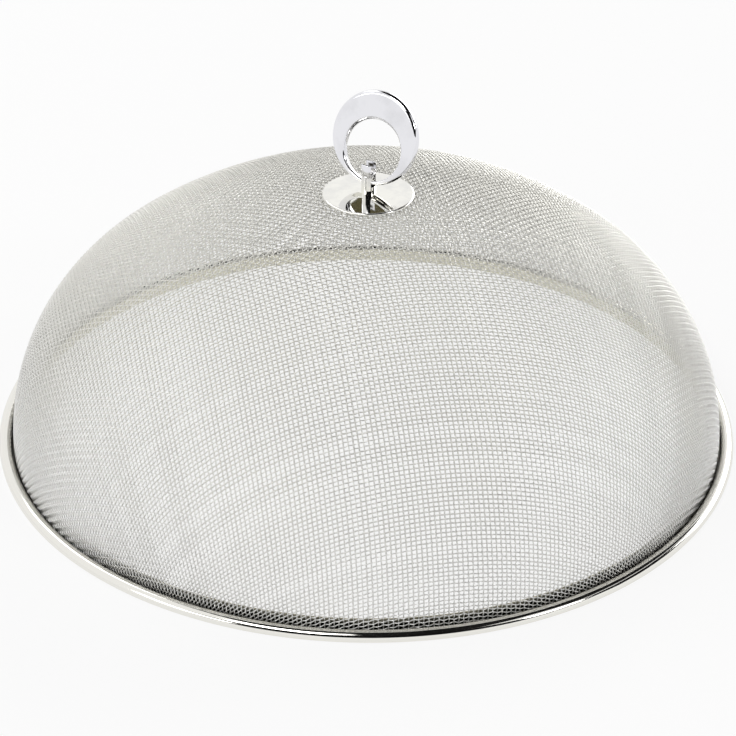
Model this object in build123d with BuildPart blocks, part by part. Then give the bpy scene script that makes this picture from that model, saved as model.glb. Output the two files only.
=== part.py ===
from build123d import *
import os
from math import asin, cos, hypot, pi, sin, sqrt, tan

import numpy as np

# A dome of woven wire that keeps flies off a dish, edged with a folded sheet rim and lifted by a
# ring handle. Millimetres, +Z up, origin on the table at the middle of the rim.

# Rim: one folded strip, with a round bead outside the cloth and a plain lip inside it
rim_radius = 178.0
rim_sheet = 0.6
rim_lip_height = 6.0
rim_bead_width = 6.4
rim_bead_foot = 1.4
rim_edge_room = 0.5

# Dome of cloth: a shallow crown that runs into a rounder shoulder, upright at the rim
crown_radius = 217.0
shoulder_radius = 100.0

# Cloth: the real one has a wire every 2.22 mm across and every 1.93 mm along, and one wire
# in ten is drawn, at a section that keeps most of the weight of the ten
warp_pitch = 2.22
weft_pitch = 1.93
drawn_wire = 10
wire_width = 1.6
wire_thickness = 1.1
wire_gap = 0.3
cloth_turn = 40.6
shortest_wire_rise = 9.0
shortest_end = 0.03

# Handle: a conical disc, a slotted post with a tail, an eccentric ring that tips in the slot, and
# the pin that keeps it there
disc_radius = 21.5
disc_sheet = 0.9
disc_cone_rise = 1.5
disc_land_radius = 5.0
post_height = 13.8
post_flat_start = 7.9
post_flat_depth = 0.3
post_top_chamfer = 0.35
prong_thickness = 0.8
slot_floor_height = 2.7
tail_diameter = 4.0
tail_side_room = 0.05
tail_past_nut = 1.5
tail_chamfer = 0.4
ring_radius = 22.0
ring_hole_radius = 14.3
ring_foot = 1.8
ring_thickness = 4.2
ring_round = 0.8
ring_tip = 18.0
ring_side_room = 0.2
ring_tip_room = 0.5
pin_diameter = 1.6
pin_end_depth = 0.25

# Fixing inside the dome: a washer, a split spring washer and a nut on the post's tail
turn_room = 0.4
nut_across_flats = 7.0
nut_height = 3.2
nut_bore_chamfer = 0.3
washer_radius = 14.0
washer_thickness = 1.2
spring_washer_radius = 3.9
spring_washer_thickness = 1.0
spring_washer_slit = 0.8

# Cloth in section: two wires thick where they cross, its ends just clear of the rim's floor
wire_lift = (wire_thickness + wire_gap) / 2
cloth_half = wire_lift + wire_thickness / 2
cloth_foot = rim_sheet + rim_edge_room + wire_width / 2
cloth_radius = rim_radius - rim_bead_width - rim_edge_room - cloth_half

# Crown and shoulder meet in a common tangent
shoulder_centre = cloth_radius - shoulder_radius
crown_angle = asin(shoulder_centre / (crown_radius - shoulder_radius))
crown_centre = cloth_foot - shoulder_centre / tan(crown_angle)
crown_arc = crown_radius * crown_angle
shoulder_arc = shoulder_radius * (pi / 2 - crown_angle)

# Heights up the handle, and down the fixing
disc_low = crown_centre + sqrt(crown_radius**2 - disc_radius**2) + cloth_half + turn_room
disc_land = disc_low + disc_cone_rise
post_foot = disc_land + disc_sheet
tip_height = post_foot + slot_floor_height + ring_tip_room + ring_foot / 2
pin_height = tip_height + ring_foot / 2 + ring_tip_room + pin_diameter / 2
washer_top = crown_centre + sqrt(crown_radius**2 - washer_radius**2) - cloth_half - turn_room
washer_low = washer_top - washer_thickness
nut_top = washer_low - spring_washer_thickness
nut_low = nut_top - nut_height
tail_hole_radius = tail_diameter / 2 + tail_side_room

# Post across its slot: the ring between two prongs, with a flat filed on each of them
slot_width = ring_thickness + 2 * ring_side_room
flat_to_flat = slot_width + 2 * prong_thickness
post_diameter = flat_to_flat + 2 * post_flat_depth

# Newton steps that bring a crossing to rest on the dome
settling_rounds = 20
settled = 1e-7

os.makedirs("parts", exist_ok=True)


def down_the_dome(length):
    """Radius and height of the cloth at a length down from the top."""
    if length < crown_arc:
        angle = length / crown_radius
        return crown_radius * sin(angle), crown_centre + crown_radius * cos(angle)
    if length < crown_arc + shoulder_arc:
        angle = crown_angle + (length - crown_arc) / shoulder_radius
        return shoulder_centre + shoulder_radius * sin(angle), cloth_foot + shoulder_radius * cos(angle)
    return cloth_radius, cloth_foot - (length - crown_arc - shoulder_arc)


def from_dome(point):
    """Distance of a point from the dome and the outward normal there."""
    x, y, z = point
    around = hypot(x, y)
    if z < cloth_foot:
        return around - cloth_radius, np.array([x / around, y / around, 0.0])
    rise = z - crown_centre
    if around < rise * tan(crown_angle):
        away = hypot(around, rise)
        return away - crown_radius, np.array([x, y, rise]) / away
    out = around - shoulder_centre
    rise = z - cloth_foot
    away = hypot(out, rise)
    return away - shoulder_radius, np.array([x * out / around, y * out / around, rise]) / away


def settle(guess, neighbours):
    """Bring a guess on to the dome, at its distance along the wires from both neighbours."""
    point = guess
    for _ in range(settling_rounds):
        gap, normal = from_dome(point)
        rows = [normal]
        misses = [gap]
        for other, length in neighbours:
            rows.append(2 * (point - other))
            misses.append((point - other) @ (point - other) - length**2)
        step = np.linalg.solve(np.array(rows), -np.array(misses))
        point = point + step
        if max(abs(step)) < settled:
            break
    return point


def lay_quarter(across, along):
    """Crossings of a quarter of the cloth, in half pitches from the top.

    The two wires over the top run straight down. Wires keep their length, so each further
    crossing lies one step from the two before it, and the squares of the flat cloth lean into
    lozenges on the way down.
    """
    below = -across - along
    steps = int((crown_arc + shoulder_arc - below) / min(across, along))
    crossings = {}
    for n in range(steps):
        radius, height = down_the_dome(n * across)
        crossings[n, 0] = np.array([radius, 0.0, height])
        radius, height = down_the_dome(n * along)
        crossings[0, n] = np.array([0.0, radius, height])
    for i in range(1, steps):
        for j in range(1, steps):
            if (i - 1, j) not in crossings or (i, j - 1) not in crossings:
                break
            beside, before = crossings[i - 1, j], crossings[i, j - 1]
            if min(beside[2], before[2]) < below:
                break
            guess = beside + before - crossings[i - 1, j - 1]
            crossings[i, j] = settle(guess, [(beside, across), (before, along)])
    return crossings


def hang(quarter, wire, side, is_warp):
    """Points of half a wire, from the middle of the dome down to the rim."""
    points = []
    step = 1
    while True:
        key = (abs(wire), step) if is_warp else (step, abs(wire))
        if key not in quarter:
            return points
        signs = (wire, side, 1) if is_warp else (side, wire, 1)
        at = quarter[key] * np.sign(signs)
        over = ((wire - 1) // 2 + (side * step - 1) // 2) % 2 == is_warp
        at = at + from_dome(at)[1] * (wire_lift if over else -wire_lift)
        if at[2] < cloth_foot:
            if not points:
                return points
            share = (points[-1][2] - cloth_foot) / (points[-1][2] - at[2])
            end = points[-1] + share * (at - points[-1])
            if share < shortest_end:
                points.pop()
            return points + [end]
        points.append(at)
        step += 2


def draw(points):
    """One wire through its points, with a section set square to the dome at each of them."""
    sections = []
    for before, at, after in zip(points[:1] + points, points, points[1:] + points[-1:]):
        across = Plane(tuple(at), x_dir=tuple(from_dome(at)[1]), z_dir=tuple(after - before))
        with BuildSketch(across) as section:
            Rectangle(wire_thickness, wire_width)
        sections.append(section.sketch)
    return loft(sections, ruled=True)


def weave(across, along, is_warp):
    """Every drawn wire of one direction, over and under the wires of the other."""
    quarter = lay_quarter(across, along)
    turned = Rotation(0, 0, cloth_turn)
    wires = []
    wire = 1
    while True:
        top = quarter.get((wire, 1) if is_warp else (1, wire))
        if top is None or top[2] < cloth_foot + shortest_wire_rise:
            return wires
        for number in (wire, -wire):
            points = hang(quarter, number, -1, is_warp)[::-1] + hang(quarter, number, 1, is_warp)
            wires.append(turned * draw(points))
        wire += 2


half_across = warp_pitch * drawn_wire / 2
half_along = weft_pitch * drawn_wire / 2

# Wires of the two directions, over and under each other by turns
warp = weave(half_across, half_along, True)
with BuildPart() as warp_wires:
    add(warp)
warp_wires.part.label = "warp_wires"

weft = weave(half_across, half_along, False)
with BuildPart() as weft_wires:
    add(weft)
weft_wires.part.label = "weft_wires"

# Folded rim: down the lip, along the table, round the foot and over the bead, drawn along its
# outer skin and thickened inwards
lip_radius = cloth_radius - cloth_half - rim_edge_room - rim_sheet
foot_centre = rim_radius - rim_bead_foot
bead_radius = rim_bead_width / 2
with BuildPart() as rim_band:
    with BuildSketch(Plane.XZ):
        with BuildLine():
            Polyline((lip_radius, rim_lip_height), (lip_radius, 0), (foot_centre, 0))
            CenterArc((foot_centre, rim_bead_foot), rim_bead_foot, 270, 90)
            CenterArc((rim_radius - bead_radius, rim_bead_foot), bead_radius, 0, 180)
            offset(amount=rim_sheet, side=Side.RIGHT)
        make_face()
    revolve(axis=Axis.Z)
rim_band.part.label = "rim_band"

# Disc under the handle: a flat land for the post, then a shallow cone down on to the cloth
with BuildPart() as rosette_disc:
    with BuildSketch(Plane.XZ):
        with BuildLine():
            land_edge = (disc_land_radius, disc_land)
            under = Polyline((tail_hole_radius, disc_land), land_edge, (disc_radius, disc_low))
            top = Polyline(*[point + Vector(0, disc_sheet) for point in under.vertices()])
            Line(under @ 0, top @ 0)
            Line(under @ 1, top @ 1)
        make_face()
    revolve(axis=Axis.Z)
rosette_disc.part.label = "rosette_disc"

# Post: a stud with a slim tail, slotted for the ring, its two prongs filed flat
prong_length = post_height - slot_floor_height
flat_length = post_height - post_flat_start
with BuildPart() as handle_post:
    with BuildSketch(Plane.XY.offset(post_foot)):
        Circle(post_diameter / 2)
    extrude(amount=post_height)
    chamfer(handle_post.faces().sort_by(Axis.Z)[-1].edges(), post_top_chamfer)
    with BuildSketch(Plane.XY.offset(post_foot + post_flat_start)):
        Rectangle(2 * post_diameter, 2 * post_diameter)
        Rectangle(2 * post_diameter, flat_to_flat, mode=Mode.SUBTRACT)
    extrude(amount=flat_length, mode=Mode.SUBTRACT)
    with BuildSketch(Plane.XY.offset(post_foot + slot_floor_height)):
        Rectangle(2 * post_diameter, slot_width)
    extrude(amount=prong_length, mode=Mode.SUBTRACT)
    with BuildSketch(Plane.XZ):
        with Locations((0, pin_height)):
            Circle(pin_diameter / 2)
    extrude(amount=post_diameter, both=True, mode=Mode.SUBTRACT)
    with BuildSketch(Plane.XY.offset(post_foot)):
        Circle(tail_diameter / 2)
    extrude(amount=nut_low - tail_past_nut - post_foot)
    chamfer(handle_post.faces().sort_by(Axis.Z)[0].edges(), tail_chamfer)
handle_post.part.label = "handle_post"

# Ring: its finger hole sits low, so the plate is broad at the top and slim in the slot. It rests
# tipped back about its slim foot
ring_front = Vector(0, -1, 0).rotate(Axis.X, -ring_tip)
ring_plane = Plane((0, 0, tip_height), x_dir=(1, 0, 0), z_dir=ring_front)
with BuildPart() as ring_handle:
    with BuildSketch(ring_plane):
        with Locations((0, ring_radius - ring_foot / 2)):
            Circle(ring_radius)
        with Locations((0, ring_hole_radius + ring_foot / 2)):
            Circle(ring_hole_radius, mode=Mode.SUBTRACT)
    extrude(amount=ring_thickness / 2, both=True)
    fillet(ring_handle.edges().filter_by(GeomType.CIRCLE), ring_round)
ring_handle.part.label = "ring_handle"

# Pin through the prongs, over the slim foot of the ring, its ends just below their surface
with BuildPart() as ring_pin:
    with BuildSketch(Plane.XZ):
        with Locations((0, pin_height)):
            Circle(pin_diameter / 2)
    extrude(amount=post_diameter / 2 - pin_end_depth, both=True)
ring_pin.part.label = "ring_pin"

# Washer that backs the cloth from inside
with BuildPart() as inner_washer:
    with BuildSketch(Plane.XY.offset(washer_low)):
        Circle(washer_radius)
        Circle(tail_hole_radius, mode=Mode.SUBTRACT)
    extrude(amount=washer_thickness)
inner_washer.part.label = "inner_washer"

# Split spring washer that keeps the nut from working loose
with BuildPart() as spring_washer:
    with BuildSketch(Plane.XY.offset(nut_top)):
        Circle(spring_washer_radius)
        Circle(tail_hole_radius, mode=Mode.SUBTRACT)
        with Locations((spring_washer_radius, 0)):
            Rectangle(2 * spring_washer_radius, spring_washer_slit, mode=Mode.SUBTRACT)
    extrude(amount=spring_washer_thickness)
spring_washer.part.label = "spring_washer"

# Nut on the tail of the post, inside the dome
with BuildPart() as fixing_nut:
    with BuildSketch(Plane.XY.offset(nut_low)):
        RegularPolygon(nut_across_flats / 2, 6, major_radius=False)
        Circle(tail_hole_radius, mode=Mode.SUBTRACT)
    extrude(amount=nut_height)
    chamfer(fixing_nut.edges().filter_by(GeomType.CIRCLE), nut_bore_chamfer)
fixing_nut.part.label = "fixing_nut"

pieces = [warp_wires, weft_wires, rim_band, rosette_disc, handle_post, ring_handle, ring_pin]
pieces += [inner_washer, spring_washer, fixing_nut]
for piece in pieces:
    export_step(piece.part, f"parts/{piece.part.label}.step")
    print(piece.part.label, len(piece.part.solids()), "solids", round(piece.part.volume, 1), "mm3")
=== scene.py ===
# %% [markdown]
# A food cover of woven wire: cloth pressed into a dome, a folded rim, and a ring handle that
# leans back in a slotted post. The solids of the part are loaded as a frame that never moves,
# and every piece below is modelled in the same place and in the same frame, in metres.

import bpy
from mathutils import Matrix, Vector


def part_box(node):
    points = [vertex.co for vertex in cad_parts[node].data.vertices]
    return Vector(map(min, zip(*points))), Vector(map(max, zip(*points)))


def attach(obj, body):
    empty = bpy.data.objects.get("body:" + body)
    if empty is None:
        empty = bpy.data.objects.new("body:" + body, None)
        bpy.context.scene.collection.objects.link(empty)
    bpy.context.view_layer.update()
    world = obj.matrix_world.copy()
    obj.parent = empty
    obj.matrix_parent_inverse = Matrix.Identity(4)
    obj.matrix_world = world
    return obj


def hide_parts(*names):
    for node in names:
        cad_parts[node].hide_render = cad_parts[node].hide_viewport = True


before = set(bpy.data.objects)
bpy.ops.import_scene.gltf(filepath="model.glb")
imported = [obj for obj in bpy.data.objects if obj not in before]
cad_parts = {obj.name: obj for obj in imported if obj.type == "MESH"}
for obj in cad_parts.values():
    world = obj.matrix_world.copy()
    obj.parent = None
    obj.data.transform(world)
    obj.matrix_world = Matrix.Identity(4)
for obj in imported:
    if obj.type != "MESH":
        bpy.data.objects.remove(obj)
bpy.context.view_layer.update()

# %% [markdown]
# The lesson needs Blender's own modules, a little trigonometry, and numpy for the cloth, whose
# crossings are worked out many at a time. Small lengths are easier to read in millimetres, so
# one value turns them into metres.

# %% Tools of this lesson
from math import asin, cos, pi, radians, sin, tan

import bmesh
import bpy
import numpy as np
from mathutils import Matrix, Quaternion, Vector

mm = 0.001
scene = bpy.context.scene
print("Blender", bpy.app.version_string)

# %% [markdown]
# The camera stands a long way off with a long lens, so the rim's near and far sides are
# almost the same size. It could be placed by eye, but it is quicker to say how far it is
# turned and raised round the middle of the dome, and to aim it a little lower.

# %% Camera
turned, raised, tilted = radians(29.0), radians(29.85), radians(0.5)
dome_middle, camera_distance = Vector((0, 0, 60 * mm)), 1246 * mm
aim_height, aim_right = 31.75 * mm, 0.5 * mm
lens_length, film_width = 127.8, 36
back = Vector((sin(turned) * cos(raised), -cos(turned) * cos(raised), sin(raised)))
rightwards = Vector((cos(turned), sin(turned), 0))
farwards = Vector((-sin(turned), cos(turned), 0))
camera = bpy.data.objects.new("camera", bpy.data.cameras.new("camera"))
scene.collection.objects.link(camera)
camera.data.lens, camera.data.sensor_width = lens_length, film_width
camera.location = dome_middle + camera_distance * back
aim = Vector((0, 0, aim_height)) + aim_right * rightwards
upright = (camera.location - aim).to_track_quat("Z", "Y")
camera.rotation_mode = "QUATERNION"
camera.rotation_quaternion = upright @ Quaternion((0, 0, 1), tilted)
scene.camera = camera
print("camera", round((camera.location - aim).length, 3), "m from its aim")

# %% [markdown]
# A finish can be wired up by hand in the shader editor, but shader maths is easier to read as
# Python than as a web of nodes. A small class holds one socket, and its operators add the Math
# nodes. Every other node comes from one method.


# %% Shader maths
class Shade:
    """A socket of a material, or the material's own tree where no socket is given."""

    def __init__(self, tree, socket=None):
        self.tree, self.socket = tree, socket

    def make(self, kind, settings=(), inputs=(), output=0):
        """A node of that type, its settings first, then the values or links of its sockets."""
        node = self.tree.nodes.new(kind)
        for name, value in dict(settings).items():
            setattr(node, name, value)
        for name, value in dict(inputs).items():
            if isinstance(value, Shade):
                self.tree.links.new(value.socket, node.inputs[name])
            else:
                node.inputs[name].default_value = value
        return Shade(self.tree, node.outputs[output] if node.outputs else None)

    def maths(self, operation, first, second=0.0):
        """A Math node between two sockets or numbers."""
        return self.make("ShaderNodeMath", {"operation": operation}, {0: first, 1: second})

    def __add__(self, other):
        return self.maths("ADD", self, other)

    def __mul__(self, other):
        return self.maths("MULTIPLY", self, other)

    def __rsub__(self, other):
        return self.maths("SUBTRACT", other, self)

    def __abs__(self):
        return self.maths("ABSOLUTE", self)

    def clipped(self, low, high):
        """How far this value has come from low to high, from 0 to 1."""
        ends = {"Value": self, "From Min": low, "From Max": high}
        return self.make("ShaderNodeMapRange", {}, ends)

    __radd__, __rmul__ = __add__, __mul__


# %% [markdown]
# Every finish starts from a point's place on its piece and ends in one shader. Between them
# stand the same few things: a coordinate, a noise, a mix of two colours and a bump. Each is a
# short function here, so that a finish reads as a list of what is seen on the metal.


# %% What every finish is made of
def new_finish(name):
    """An empty material, and where a point lies on the piece."""
    finish = bpy.data.materials.new(name)
    finish.use_nodes = True
    finish.node_tree.nodes.clear()
    return finish, Shade(finish.node_tree).make("ShaderNodeTexCoord", output="Object")


def part_of(place, axis):
    """One coordinate of a place, by the letter of its axis."""
    return place.make("ShaderNodeSeparateXYZ", {}, {"Vector": place}, axis)


def noise(place, scale, detail=2.0, roughness=0.5):
    """Soft blotches of about one over scale metres."""
    looks = {"Vector": place, "Scale": scale, "Detail": detail, "Roughness": roughness}
    return place.make("ShaderNodeTexNoise", {}, looks)


def mixed(share, first, second):
    """A colour between two, by a share that changes over the surface."""
    ends = {"Factor": share, 6: first, 7: second}
    return share.make("ShaderNodeMix", {"data_type": "RGBA"}, ends, 2)


def bumps(height, strength, distance):
    """A surface that rises and falls a little with a value."""
    looks = {"Height": height, "Strength": strength, "Distance": distance}
    return height.make("ShaderNodeBump", {}, looks)


def close_finish(finish, **sockets):
    """The shader at the end of a material, with its varying and its constant sockets."""
    tree = Shade(finish.node_tree)
    words = {name.replace("_", " "): value for name, value in sockets.items()}
    surface = tree.make("ShaderNodeBsdfPrincipled", {}, words)
    tree.make("ShaderNodeOutputMaterial", {}, {"Surface": surface})
    print(finish.name, "has", len(finish.node_tree.nodes), "nodes")


# %% [markdown]
# The cloth is bright drawn wire. Drawing leaves it smooth but not a mirror. Steam rises to
# the top of the cover and leaves the wire a little yellow there, washing leaves it duller in
# some places than in others, and each wire has a fine grain. A picture could be wrapped round
# the wires for that, but a noise that is read by place needs no unwrapping.

# %% Finish of the wire
clean_wire, steamed_wire = (0.86, 0.86, 0.855, 1), (0.85, 0.84, 0.785, 1)
wire_grain = (0.74, 0.73, 0.70, 1)
wire_finish, place = new_finish("bright_drawn_wire")
drift = noise(place, 16.0).clipped(0.35, 0.65)
grain = noise(place, 1400.0)
steamed = (part_of(place, "Z") + 20 * mm * drift).clipped(30 * mm, 110 * mm)
tone = mixed(steamed, clean_wire, steamed_wire)
tone = mixed(grain.clipped(0.2, 0.8), tone, wire_grain)
gloss = 0.34 + 0.10 * drift + 0.10 * grain
dents = bumps(grain, 0.08, 0.1 * mm)
close_finish(wire_finish, Base_Color=tone, Metallic=1.0, Roughness=gloss, Normal=dents)

# %% [markdown]
# The rim is polished sheet. Polishing goes round and round, so its fine lines follow the rim.
# They could be drawn on an unwrapped strip, but a noise that is read by radius and height, and
# not by angle, has no seam. The lip inside is never polished and has yellowed. The slot between
# lip and bead, where the cloth's edge sits, is painted dark as shade, most of all at its
# bottom.


# %% Finish of the rim
def from_axis(place):
    """How far a point lies from the upright axis."""
    flat = {0: place, 1: (1, 1, 0)}
    level = place.make("ShaderNodeVectorMath", {"operation": "MULTIPLY"}, flat)
    return level.make("ShaderNodeVectorMath", {"operation": "LENGTH"}, {0: level}, "Value")


slot_starts, bead_starts = (167.7 * mm, 167.9 * mm), (171.8 * mm, 172.3 * mm)
slot_bottom, slot_top = 3.4 * mm, 5.0 * mm
polish_dark, polish_light = (0.80, 0.785, 0.73, 1), (0.84, 0.83, 0.79, 1)
lip_yellow, slot_yellow = (0.64, 0.62, 0.51, 1), (0.60, 0.57, 0.45, 1)
# Painted shade for the bottom of the slot between lip and bead.
painted_slot_shade = (0.06, 0.055, 0.045, 1)
rim_finish, place = new_finish("polished_sheet")
radius, height = from_axis(place), part_of(place, "Z")
round_and_round = place.make("ShaderNodeCombineXYZ", {}, {"X": radius, "Y": height})
lines = noise(round_and_round, 9000.0, 3.0)
smears = noise(place, 30.0).clipped(0.35, 0.7)
unpolished = 1.0 - radius.clipped(*bead_starts)
polish = mixed(lines.clipped(0.3, 0.7), polish_dark, polish_light)
# Painted shade: the slot between lip and bead goes dark towards its bottom, and yellow above.
slot_shade_to_yellow = mixed(height.clipped(slot_bottom, slot_top), painted_slot_shade, slot_yellow)
inside = mixed(radius.clipped(*slot_starts), lip_yellow, slot_shade_to_yellow)
tone = mixed(unpolished, polish, inside)
gloss = 0.04 + 0.05 * smears + 0.03 * lines + 0.25 * unpolished
scores = bumps(lines, 0.05, 0.05 * mm)
close_finish(rim_finish, Base_Color=tone, Metallic=1.0, Roughness=gloss, Normal=scores)

# %% [markdown]
# The handle is chromed. Chrome is a mirror with a cool tint, and what tells it from a
# computer's perfect mirror is a film of fingerprints and a few hairlines. The disc and the
# post are wiped less often than the ring, and the film is warmer there. Each piece could have
# a finish of its own, but one that changes with height suits them all.

# %% Film on the handle
warm_chrome, cool_chrome = (0.90, 0.89, 0.84, 1), (0.80, 0.80, 0.83, 1)
fingerprint = (0.60, 0.60, 0.62, 1)
chrome_finish, place = new_finish("bright_chrome")
height = part_of(place, "Z")
film = noise(place, 90.0, 4.0, 0.6).clipped(0.45, 0.75)
hairs = noise(place, 2500.0).clipped(0.62, 0.75)
wiped = height.clipped(128 * mm, 140 * mm)
tone = mixed(wiped, warm_chrome, cool_chrome)
tone = mixed(0.4 * film, tone, fingerprint)
gloss = 0.035 + 0.05 * film + 0.03 * hairs
print("film on the handle ready")

# %% [markdown]
# Between the prongs of the post, a little below their tips, the chrome is painted dark as the
# shade in the slot. It could be a second finish on a few faces, but then it would have hard
# edges. As a mask over the chrome it fades out by itself.

# %% Painted shade between the prongs
post_low, post_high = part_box("rosette_disc")[1].z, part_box("handle_post")[1].z
slot_half = 2.3 * mm
patch_edge = (2.4 * mm, 3.0 * mm)
patch_bottom = (post_high - 3.2 * mm, post_high - 2.2 * mm)
patch_top = (post_high - 1.2 * mm, post_high - 0.8 * mm)
# Painted shade for the slot between the prongs.
painted_shade_tone = (0.05, 0.045, 0.035, 1)
in_slot = 1.0 - abs(part_of(place, "Y")).clipped(slot_half, slot_half + 0.1 * mm)
in_middle = 1.0 - from_axis(place).clipped(*patch_edge)
in_height = height.clipped(*patch_bottom) * (1.0 - height.clipped(*patch_top))
# Painted shade: the chrome goes dark between the prongs, a little below their tips.
painted_prong_shade = in_slot * in_middle * in_height
tone = mixed(painted_prong_shade, tone, painted_shade_tone)
gloss = gloss + 0.3 * painted_prong_shade
wave = bumps(film, 0.02, 0.2 * mm)
close_finish(chrome_finish, Base_Color=tone, Metallic=1.0, Roughness=gloss, Normal=wave)

# %% [markdown]
# The nut and its washers are plain steel from the box, turned and then left alone: darker,
# duller, with a faint grain. They are hardly seen, so two noises are enough: one for the
# blotches of old oil, and a finer one for the grain.

# %% Finish of the fixing
bare_steel, old_oil = (0.60, 0.59, 0.57, 1), (0.46, 0.44, 0.41, 1)
plain_finish, place = new_finish("plain_steel")
grain = noise(place, 600.0, 4.0)
blotch = noise(place, 120.0).clipped(0.4, 0.7)
tone = mixed(blotch, bare_steel, old_oil)
gloss = 0.30 + 0.12 * blotch + 0.08 * grain
pits = bumps(grain, 0.10, 0.1 * mm)
close_finish(plain_finish, Base_Color=tone, Metallic=1.0, Roughness=gloss, Normal=pits)

# %% [markdown]
# Each piece ends the same way: doubles merged, faces turned outwards, smooth shading that
# stops at real edges, then the finish, the body that it rides on and the solid it stands for.
# Those lines could follow every piece, but as functions they are written once.

# %% How a piece is closed
weld = 1e-6
sharp_from = radians(38)


def merge_and_turn(bm):
    """Merge a mesh's doubles and turn its faces outwards."""
    bmesh.ops.remove_doubles(bm, verts=bm.verts, dist=weld)
    bmesh.ops.recalc_face_normals(bm, faces=bm.faces)


def close_piece(bm, name, body, node, finish):
    """Make the finished mesh an object of the part."""
    merge_and_turn(bm)
    mesh = bpy.data.meshes.new(name)
    bm.to_mesh(mesh)
    bm.free()
    mesh.shade_smooth()
    mesh.set_sharp_from_angle(angle=sharp_from)
    return place_piece(mesh, name, body, node, finish)


def place_piece(mesh, name, body, node, finish):
    """Give a mesh its finish, its body and the solid that it stands for."""
    mesh.materials.append(finish)
    piece = bpy.data.objects.new(name, mesh)
    scene.collection.objects.link(piece)
    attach(piece, body)
    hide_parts(node)
    print(name, len(mesh.polygons), "faces")
    return piece


# %% [markdown]
# The dome of the cloth is a shallow crown that runs into a rounder shoulder. It could be a
# sphere that is pushed into shape, but both are arcs with a common tangent, so a point's
# distance from the dome takes one line for either. The cloth is worked out in millimetres. Its
# wires are finer than those of the solids, so it lies a little outside their arcs, with its
# outer side where theirs is.

# %% Dome
cloth_out = 0.65
crown_radius, shoulder_radius = 217.0 + cloth_out, 100.0 + cloth_out
shoulder_centre, shoulder_height = 69.85, 1.9
crown_angle = asin(shoulder_centre / (crown_radius - shoulder_radius))
crown_centre = shoulder_height - shoulder_centre / tan(crown_angle)
crown_arc = crown_radius * crown_angle
side_arc = crown_arc + shoulder_radius * (pi / 2 - crown_angle)
off_axis = 1e-9


def from_dome(points):
    """Distance of many points from the dome, and the outward normals there."""
    around = np.maximum(np.hypot(points[:, 0], points[:, 1]), off_axis)
    rise = points[:, 2] - crown_centre
    crown = around < rise * tan(crown_angle)
    out = np.where(crown, around, around - shoulder_centre)
    up = np.where(crown, rise, np.maximum(points[:, 2] - shoulder_height, 0))
    away = np.hypot(out, up)
    sideways = out / away / around
    normals = np.stack([points[:, 0] * sideways, points[:, 1] * sideways, up / away], 1)
    return away - np.where(crown, crown_radius, shoulder_radius), normals


def down_the_dome(lengths):
    """Radius and height at lengths down from the top."""
    crown = np.minimum(lengths, crown_arc) / crown_radius
    angle = crown + np.clip(lengths - crown_arc, 0, side_arc - crown_arc) / shoulder_radius
    below = np.maximum(lengths - side_arc, 0)
    on_crown = lengths < crown_arc
    arc_radius = np.where(on_crown, crown_radius, shoulder_radius)
    radii = np.where(on_crown, 0, shoulder_centre) + arc_radius * np.sin(angle)
    heights = np.where(on_crown, crown_centre, shoulder_height) + arc_radius * np.cos(angle)
    return radii, heights - below


print("dome rises to", round(crown_centre + crown_radius, 1), "mm")

# %% [markdown]
# Cloth that is pressed into a dome keeps the length of its wires, and only the squares
# between them lean. A cloth simulation could find that, but it isn't needed: the two wires over
# the top run straight down, and every other crossing lies on the dome, one pitch from the two
# crossings before it. From a first guess, a few rounds of correction bring it there.

# %% How a crossing settles
warp_pitch, weft_pitch = 2.22, 1.93
settling_rounds = 12


def settled(point, beside, before):
    """Crossings on the dome, each one pitch from its two neighbours."""
    for settling in range(settling_rounds):
        gap, normal = from_dome(point)
        rows = np.stack([normal, 2 * (point - beside), 2 * (point - before)], 1)
        misses = np.stack([
            gap,
            ((point - beside) ** 2).sum(1) - warp_pitch**2,
            ((point - before) ** 2).sum(1) - weft_pitch**2,
        ], 1)
        point = point - np.linalg.solve(rows, misses[..., None])[..., 0]
    return point


# %% [markdown]
# A quarter of the cloth is enough, because the other three mirror it. It could be worked out
# crossing by crossing, but all crossings of a diagonal depend only on the diagonals before, so
# they are settled at once.

# %% Crossings of the cloth
below_rim = -3.0
reach = int((side_arc - below_rim) / min(warp_pitch, weft_pitch)) + 1
crossings = np.full((reach, reach, 3), np.nan)
count = np.arange(reach)
radii, heights = down_the_dome(count * warp_pitch)
crossings[:, 0] = np.stack([radii, 0 * radii, heights], 1)
radii, heights = down_the_dome(count * weft_pitch)
crossings[0, :] = np.stack([0 * radii, radii, heights], 1)
for diagonal in range(2, 2 * reach - 1):
    i = np.arange(max(1, diagonal - reach + 1), min(diagonal, reach))
    j = diagonal - i
    beside, before = crossings[i - 1, j], crossings[i, j - 1]
    usable = np.minimum(beside[:, 2], before[:, 2]) > below_rim
    i, j, beside, before = i[usable], j[usable], beside[usable], before[usable]
    start = beside + before - crossings[i - 1, j - 1]
    crossings[i, j] = settled(start, beside, before)
print("crossings in a quarter:", int(np.isfinite(crossings[..., 0]).sum()))

# %% [markdown]
# Each wire goes over and under its neighbours by turns. It could be a smooth curve with handles
# at every crossing. Two plain points at each, lifted by half a wire, look the same at this size:
# the wire's top is round, and its flank slopes.

# %% Lines of the wires
wire_radius, wire_end, knuckle, fewest_points = 0.29, 1.0, 0.2, 6
cloth_turn = np.array(Matrix.Rotation(radians(40.6), 3, "Z"))
signed = np.arange(-reach + 1, reach)
mirrored = crossings[abs(signed)][:, abs(signed)]
mirrored[..., 0] *= np.sign(signed)[:, None]
mirrored[..., 1] *= np.sign(signed)[None, :]
over = np.where((signed[:, None] + signed[None, :]) % 2 == 0, wire_radius, -wire_radius)


def run_wire(line, lift):
    """Points of one wire from rim to rim, two at each crossing."""
    inside = np.isfinite(line[:, 0])
    line, lift = line[inside], lift[inside]
    lifted = line + from_dome(line)[1] * lift[:, None]
    step = np.diff(line, axis=0)
    after, before = lifted[:-1] + knuckle * step, lifted[1:] - knuckle * step
    points = np.stack([after, before], 1).reshape(-1, 3)
    return points[points[:, 2] > wire_end] @ cloth_turn.T


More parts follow.
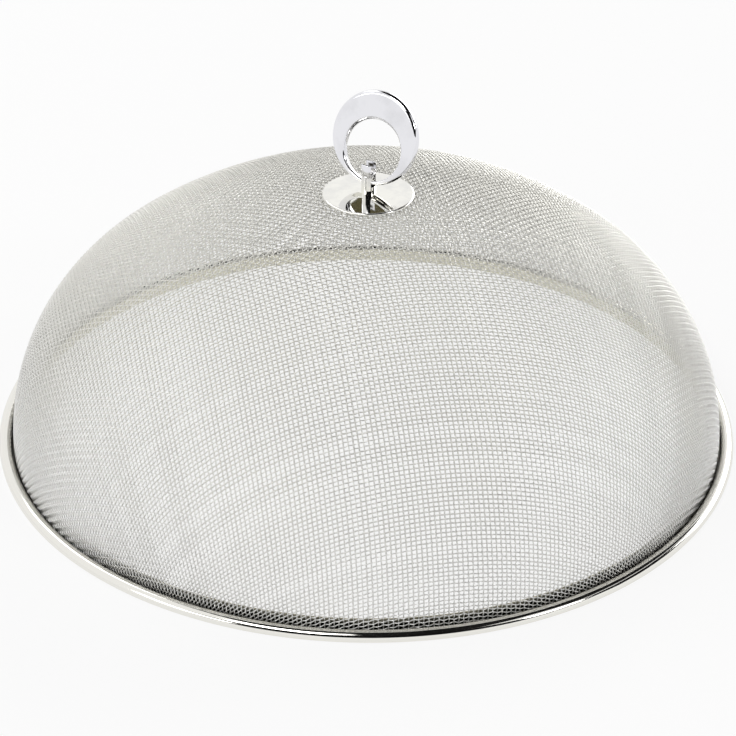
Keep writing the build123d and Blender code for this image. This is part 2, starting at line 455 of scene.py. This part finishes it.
warp = [run_wire(mirrored[row], over[row]) for row in range(len(signed))]
weft = [run_wire(mirrored[:, row], -over[:, row]) for row in range(len(signed))]
warp, weft = ([line for line in wires if len(line) >= fewest_points] for wires in (warp, weft))
print(len(warp), "warp wires and", len(weft), "weft wires")

# %% [markdown]
# The lines become curves with a section, which is the easiest way to make a wire, and some
# dozens of wires at a time become one mesh. The section has four sides, because there are far
# too many wires for a rounder one, and its corners stand out a little to make up for that.

# %% Wires
corner_reach = 1.12 * wire_radius * mm
most_points = 22000


def in_panels(wires):
    """The wires side by side in panels, none with too many points."""
    panels, held = [[]], 0
    for points in wires:
        if held + len(points) > most_points:
            panels.append([])
            held = 0
        panels[-1].append(points)
        held += len(points)
    return panels


def lay_wires(wires, name, node):
    """A mesh of many wires."""
    curve = bpy.data.curves.new(name, "CURVE")
    curve.dimensions, curve.use_fill_caps = "3D", True
    curve.bevel_depth, curve.bevel_resolution = corner_reach, 0
    for points in wires:
        spline = curve.splines.new("POLY")
        spline.points.add(len(points) - 1)
        weighted = np.column_stack([points * mm, np.ones(len(points))])
        spline.points.foreach_set("co", weighted.ravel())
    strands = bpy.data.objects.new(name, curve)
    mesh = bpy.data.meshes.new_from_object(strands)
    bpy.data.objects.remove(strands)
    mesh.shade_smooth()
    place_piece(mesh, name, "cover", node, wire_finish)


for node, wires in (("warp_wires", warp), ("weft_wires", weft)):
    for number, panel in enumerate(in_panels(wires), 1):
        lay_wires(panel, f"{node}_{number}", node)

# %% [markdown]
# The rim and the disc are the same all the way round. Such a piece could be a cylinder that is
# pushed into shape, but it is simpler to draw its section from a vertex, straight or round a
# centre, and to spin that round the upright axis.


# %% How a section is drawn and spun
def draw_to(bm, vertex, radius, height):
    """Draw a section on from a vertex to a radius and a height."""
    drawn = bmesh.ops.extrude_vert_indiv(bm, verts=[vertex])["verts"][0]
    drawn.co = Vector((radius, 0, height))
    return drawn


def arc_from(bm, vertex, radius, height, angle, steps):
    """Draw a section on from a vertex round a centre."""
    centre = Vector((radius, 0, height))
    spun = bmesh.ops.spin(
        bm, geom=[vertex], cent=centre, axis=(0, -1, 0), angle=angle, steps=steps
    )
    return [part for part in spun["geom_last"] if isinstance(part, bmesh.types.BMVert)][0]


def spin_round(bm, steps):
    """Spin a section right round the upright axis."""
    section = bm.verts[:] + bm.edges[:]
    bmesh.ops.spin(
        bm, geom=section, cent=(0, 0, 0), axis=(0, 0, 1), angle=2 * pi, steps=steps,
        use_merge=True,
    )


# %% [markdown]
# The rim is one strip of sheet: down the lip, along the table, round the foot and over the
# bead. Its wall could be drawn on both sides, but then every bend is drawn twice. Here one
# line is drawn and spun, and the strip is thickened inwards.

# %% Rim
lip_radius, lip_height = 167.5 * mm, 6.0 * mm
foot_centre, foot_radius, bead_centre = 176.6 * mm, 1.4 * mm, 174.8 * mm
sheet = 0.6 * mm
foot_steps, bead_steps, rim_steps = 6, 20, 360
bm = bmesh.new()
vertex = bm.verts.new((lip_radius, 0, lip_height))
vertex = draw_to(bm, vertex, lip_radius, 0)
vertex = draw_to(bm, vertex, foot_centre, 0)
vertex = arc_from(bm, vertex, foot_centre, foot_radius, pi / 2, foot_steps)
vertex = arc_from(bm, vertex, bead_centre, foot_radius, pi, bead_steps)
spin_round(bm, rim_steps)
merge_and_turn(bm)
bmesh.ops.solidify(bm, geom=bm.faces[:], thickness=sheet)
rim = close_piece(bm, "folded_rim", "cover", "rim_band", rim_finish)
print("rim out to", round(max(v.co.x for v in rim.data.vertices) / mm, 2), "mm")

# %% [markdown]
# The disc under the handle is a shallow cone with a flat land for the post. Its section is
# drawn as a closed loop, spun, and its two outer edges are rounded. Smooth shading would melt
# land, cone and edge into one soft lens, so an extra point close to each bend keeps the cone
# straight, and it mirrors the room in fans.

# %% Disc
disc_low, disc_high = (corner.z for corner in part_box("rosette_disc"))
disc_radius, land_radius, bore_radius = 21.5 * mm, 5.0 * mm, 2.05 * mm
disc_sheet, crease, edge_width = 0.9 * mm, 0.3 * mm, 0.9 * mm
top_rounding, bottom_rounding = 0.62 * mm, 0.2 * mm
disc_steps, disc_segments = 128, 6
edge_top, under_land = disc_low + disc_sheet, disc_high - disc_sheet
cone_slope = (disc_high - edge_top) / (disc_radius - land_radius)


def round_off(bm, edges, width, segments):
    """Bevel edges into arcs."""
    bmesh.ops.bevel(
        bm, geom=edges, offset=width, affect="EDGES", segments=segments, profile=0.5,
        material=-1,
    )


def at_outer_edge(edge, height):
    """Whether an edge runs along the outside of the disc at a height."""
    return all(
        v.co.xy.length > disc_radius - weld and abs(v.co.z - height) < weld for v in edge.verts
    )


bm = bmesh.new()
bore_top = bm.verts.new((bore_radius, 0, disc_high))
vertex = draw_to(bm, bore_top, land_radius - crease, disc_high)
vertex = draw_to(bm, vertex, land_radius, disc_high)
vertex = draw_to(bm, vertex, land_radius + crease, disc_high - crease * cone_slope)
vertex = draw_to(bm, vertex, disc_radius - edge_width, edge_top + edge_width * cone_slope)
vertex = draw_to(bm, vertex, disc_radius, edge_top)
vertex = draw_to(bm, vertex, disc_radius, disc_low)
vertex = draw_to(bm, vertex, land_radius, under_land)
vertex = draw_to(bm, vertex, bore_radius, under_land)
bm.edges.new((vertex, bore_top))
spin_round(bm, disc_steps)
bmesh.ops.remove_doubles(bm, verts=bm.verts, dist=weld)
for height, rounding in ((edge_top, top_rounding), (disc_low, bottom_rounding)):
    outer_edge = [edge for edge in bm.edges if at_outer_edge(edge, height)]
    round_off(bm, outer_edge, rounding, disc_segments)
close_piece(bm, "conical_disc", "handle", "rosette_disc", chrome_finish)

# %% [markdown]
# The post is a stud with a threaded tail, and its head is slotted for the ring. It could be
# cut from a cylinder by booleans, but these leave untidy faces. Here a circle is drawn up
# ring by ring: along the tail with its thread, out to the stem, and up to the slot's floor.

# %% Tail and stem of the post
tail_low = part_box("handle_post")[0].z
post_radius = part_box("handle_post")[1].x
nut_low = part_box("fixing_nut")[0].z
tail_radius, tail_end, tail_chamfer = 2.0 * mm, 1.6 * mm, 0.4 * mm
thread_root, thread_pitch, thread_top = 1.72 * mm, 0.7 * mm, nut_low + 0.5 * mm
slot_floor = post_low + 2.7 * mm
post_segments = 96


def draw_ring(bm, edges, radius, height):
    """Draw a loop of edges on to a circle of another radius at another height."""
    drawn = bmesh.ops.extrude_edge_only(bm, edges=edges)["geom"]
    for vertex in (part for part in drawn if isinstance(part, bmesh.types.BMVert)):
        vertex.co.xy = vertex.co.xy.normalized() * radius
        vertex.co.z = height
    return [part for part in drawn if isinstance(part, bmesh.types.BMEdge)]


post = bmesh.new()
bmesh.ops.create_circle(post, cap_ends=True, segments=post_segments, radius=tail_end)
bmesh.ops.translate(post, verts=post.verts, vec=(0, 0, tail_low))
ridge = tail_low + tail_chamfer
loop = draw_ring(post, post.edges[:], tail_radius, ridge)
while ridge + thread_pitch < thread_top:
    loop = draw_ring(post, loop, thread_root, ridge + thread_pitch / 2)
    ridge += thread_pitch
    loop = draw_ring(post, loop, tail_radius, ridge)
loop = draw_ring(post, loop, tail_radius, post_low)
loop = draw_ring(post, loop, post_radius, post_low)
loop = draw_ring(post, loop, post_radius, slot_floor)
bmesh.ops.contextual_create(post, geom=loop)
print("post from", round(tail_low / mm, 1), "to", round(post_high / mm, 1), "mm")

# %% [markdown]
# The stem's top is cut along both sides of the slot. The two outer parts of it are the prongs:
# they are drawn up to where the file started, cut again along the flats, and the inner part is
# drawn on to the top, where a small bevel takes the edge off.

# %% Prongs of the post
flat_half, flat_start = 3.1 * mm, post_low + 7.9 * mm
tip_bevel, tip_segments = 0.25 * mm, 3


def draw_up(bm, faces, height):
    """Draw faces straight up to a height."""
    drawn = bmesh.ops.extrude_face_region(bm, geom=faces)["geom"]
    tops = [part for part in drawn if isinstance(part, bmesh.types.BMFace)]
    bmesh.ops.delete(bm, geom=faces, context="FACES_ONLY")
    for vertex in {v for face in tops for v in face.verts}:
        vertex.co.z = height
    return tops


def level_faces(bm, height):
    """The faces that lie level at a height."""
    return [f for f in bm.faces if all(abs(v.co.z - height) < weld for v in f.verts)]


def cut_across(bm, height, depth):
    """Cut the level faces at a height along both sides of the slot, and give them back."""
    for side in (-1, 1):
        level = level_faces(bm, height)
        geom = level + [e for f in level for e in f.edges] + [v for f in level for v in f.verts]
        bmesh.ops.bisect_plane(
            bm, geom=list(dict.fromkeys(geom)), dist=weld / 10, plane_co=(0, side * depth, 0),
            plane_no=(0, 1, 0),
        )
    return level_faces(bm, height)


def off_middle(face):
    """How far the middle of a face lies from the middle of the slot."""
    return abs(face.calc_center_median().y)


level = cut_across(post, slot_floor, slot_half)
draw_up(post, [face for face in level if off_middle(face) > slot_half], flat_start)
level = cut_across(post, flat_start, flat_half)
tips = draw_up(post, [face for face in level if off_middle(face) < flat_half], post_high)
round_off(post, list({edge for tip in tips for edge in tip.edges}), tip_bevel, tip_segments)
close_piece(post, "slotted_post", "handle", "handle_post", chrome_finish)

# %% [markdown]
# The ring is a plate between two circles that aren't concentric: the finger hole sits low, so
# the plate is broad at the top and slim where the post holds it. Its edges are well rounded.
# A bevel of one width would be too large for the slim foot, so the rounding is built from
# circles instead. Towards each face, those outside get smaller and sit lower, and those of the
# hole get larger and sit higher, so that the rounding is broad at the top and narrow at the
# foot.

# %% Ring
ring_radius, hole_radius, ring_thickness = 22.0 * mm, 14.3 * mm, 4.2 * mm
ring_up, hole_up, ring_lean = 21.1 * mm, 15.2 * mm, radians(18)
ring_foot = Vector((0, 0, post_low + 4.1 * mm))
inset_top, inset_foot = 1.9 * mm, 0.75 * mm
rounding_steps, ring_segments = 8, 192


def ring_circle(bm, radius, up, inset, level):
    """A circle of the ring, moved in from its edge, at a level through its thickness."""
    radius = radius - inset * (inset_top + inset_foot) / 2
    up = up + inset * (inset_foot - inset_top) / 2
    place = Matrix.Translation((0, up, level))
    circle = bmesh.ops.create_circle(bm, segments=ring_segments, radius=radius, matrix=place)
    return list({edge for vertex in circle["verts"] for edge in vertex.link_edges})


bm = bmesh.new()
angles = [pi * step / (2 * rounding_steps) for step in range(2 * rounding_steps + 1)]
loops = []
for radius, up, inwards in ((ring_radius, ring_up, 1), (hole_radius, hole_up, -1)):
    rounded = [
        ring_circle(bm, radius, up, inwards * (1 - sin(angle)), ring_thickness / 2 * cos(angle))
        for angle in angles
    ]
    loops += rounded[::inwards]
for loop, following in zip(loops, loops[1:] + loops[:1]):
    bmesh.ops.bridge_loops(bm, edges=loop + following)
leaned = Matrix.Translation(ring_foot) @ Matrix.Rotation(pi / 2 - ring_lean, 4, "X")
bmesh.ops.transform(bm, verts=bm.verts, matrix=leaned)
close_piece(bm, "finger_ring", "ring", "ring_handle", chrome_finish)

# %% [markdown]
# The pin holds the ring in the slot, and the nut and its two washers hold the handle to the
# cloth. They could be modelled again, but their own solids have the right shape already, so
# they only need their finish.

# %% Pin, nut and washers
for node, finish in (
    ("ring_pin", chrome_finish),
    ("fixing_nut", plain_finish),
    ("spring_washer", plain_finish),
    ("inner_washer", plain_finish),
):
    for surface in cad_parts[node].material_slots:
        surface.material = finish
    print(node, "finished")

# %% [markdown]
# Bright metal has no colour of its own: it shows the room. So the room is a plain studio, and
# what stands in it is placed by the camera's own directions. The dark sheets and the floor are
# plain rectangles.


# %% How the studio is set up
def in_studio(to_right, to_far, up):
    """A place in the studio, seen from the camera."""
    return to_right * rightwards + to_far * farwards + Vector((0, 0, up))


def stage_card(middle, across, along, finish):
    """A level sheet of the studio, square to the camera's line of sight."""
    bm = bmesh.new()
    bmesh.ops.create_grid(bm, x_segments=1, y_segments=1, size=0.5)
    bmesh.ops.scale(bm, verts=bm.verts, vec=(across, along, 1))
    mesh = bpy.data.meshes.new(finish.name)
    bm.to_mesh(mesh)
    bm.free()
    mesh.materials.append(finish)
    card = bpy.data.objects.new(finish.name, mesh)
    scene.collection.objects.link(card)
    card.location, card.rotation_euler.z = middle, turned


# %% [markdown]
# The floor and the surround are white. They could be lit until they are, but then the metal
# would be too bright. So to the lens and to the metal both are nearly as bright as a white
# page, and the floor's shadow stays faint, also under the cover. The light that they give is
# a little less, so that the lamps can shape it.

# %% Surround and floor
white, paper = (1, 1, 1, 1), (0.92, 0.92, 0.92, 1)
surround_light, page_share = 0.95, 0.82
floor_size, floor_low = 12.0, -0.05 * mm


def seen_by(tree):
    """1 for what the lens, metal or glass sees of a surface, and 0 for the light it gives."""
    lens, metal, glass = (
        tree.make("ShaderNodeLightPath", output=name)
        for name in ("Is Camera Ray", "Is Glossy Ray", "Is Transmission Ray")
    )
    return tree.maths("MAXIMUM", lens, tree.maths("MAXIMUM", metal, glass))


world = bpy.data.worlds.new("surround")
scene.world = world
world.use_nodes = True
world.node_tree.nodes.clear()
tree = Shade(world.node_tree)
strength = surround_light + (1.0 - surround_light) * seen_by(tree)
sky = tree.make("ShaderNodeBackground", {}, {"Color": white, "Strength": strength})
tree.make("ShaderNodeOutputWorld", {}, {"Surface": sky})

floor_finish = new_finish("floor")[0]
tree = Shade(floor_finish.node_tree)
sheet_of_paper = tree.make("ShaderNodeBsdfDiffuse", {}, {"Color": paper})
page = tree.make("ShaderNodeEmission", {}, {"Color": white, "Strength": 1.0})
halves = {0: page_share * seen_by(tree), 1: sheet_of_paper, 2: page}
surface = tree.make("ShaderNodeMixShader", {}, halves)
tree.make("ShaderNodeOutputMaterial", {}, {"Surface": surface})
stage_card(Vector((0, 0, floor_low)), floor_size, floor_size, floor_finish)
print("surround and floor ready")

# %% [markdown]
# Chrome in an all-white room looks like paper, so there is a ceiling of five dark sheets,
# higher than any camera goes. Three are to the right: one overhead, a small one in front of
# it, and one further out. They give the ring and the disc their dark edges. The wide one over
# the camera draws the line along the front of the rim. The olive one is far behind, where the
# front of the disc mirrors it.

# %% Ceiling
ceiling_height = 2.6
dark, olive = (0.012, 0.012, 0.012, 1), (0.085, 0.075, 0.04, 1)
ceiling_finish, ceiling_end_finish = new_finish("ceiling")[0], new_finish("ceiling_end")[0]
for finish, tone in ((ceiling_finish, dark), (ceiling_end_finish, olive)):
    close_finish(finish, Base_Color=tone, Roughness=0.9, Specular_IOR_Level=0.0)
for to_right, to_far, across, along, finish in (
    (0.85, 0.95, 3.5, 3.1, ceiling_finish),
    (0.75, -1.3, 1.7, 1.4, ceiling_finish),
    (5.5, 0.2, 5.0, 4.4, ceiling_finish),
    (0.0, -4.3, 12.0, 4.6, ceiling_finish),
    (0.0, 3.06, 2.6, 0.72, ceiling_end_finish),
):
    stage_card(in_studio(to_right, to_far, ceiling_height), across, along, finish)
print("ceiling ready")

# %% [markdown]
# Five soft lamps stand round the table: one high on the camera's left, a weak one at the far
# left, a very large one at the far right, one to the right of the camera, and a low one to its
# left, which the ring's edge mirrors. Small lamps would make hard points on the wires. Large
# ones give broad highlights and faint shadows.


# %% Lamps
def soft_lamp(name, place, size, power):
    """A rectangular lamp that faces the dome."""
    lamp = bpy.data.lights.new(name, "AREA")
    lamp.shape, lamp.energy = "RECTANGLE", power
    lamp.size, lamp.size_y = size
    lit = bpy.data.objects.new(name, lamp)
    scene.collection.objects.link(lit)
    lit.location = place
    lit.rotation_euler = (dome_middle - place).to_track_quat("-Z", "Y").to_euler()


soft_lamp("lamp_top", in_studio(-0.7, -1.1, 2.2), size=(1.0, 0.7), power=14)
soft_lamp("lamp_over", in_studio(-0.9, 1.3, 1.75), size=(0.9, 0.9), power=4)
soft_lamp("lamp_far", in_studio(2.2, 2.4, 1.3), size=(4.0, 1.6), power=60)
soft_lamp("lamp_right", in_studio(2.2, -1.35, 1.75), size=(0.8, 0.5), power=12)
soft_lamp("lamp_front", in_studio(-1.75, -1.3, 1.08), size=(1.2, 0.5), power=6)
print("lamps ready")

# %% [markdown]
# The render settings belong to whoever renders. Only the view transform is set here, so that
# colours come out as written.

# %% View transform, and the end
scene.view_settings.view_transform = "Standard"
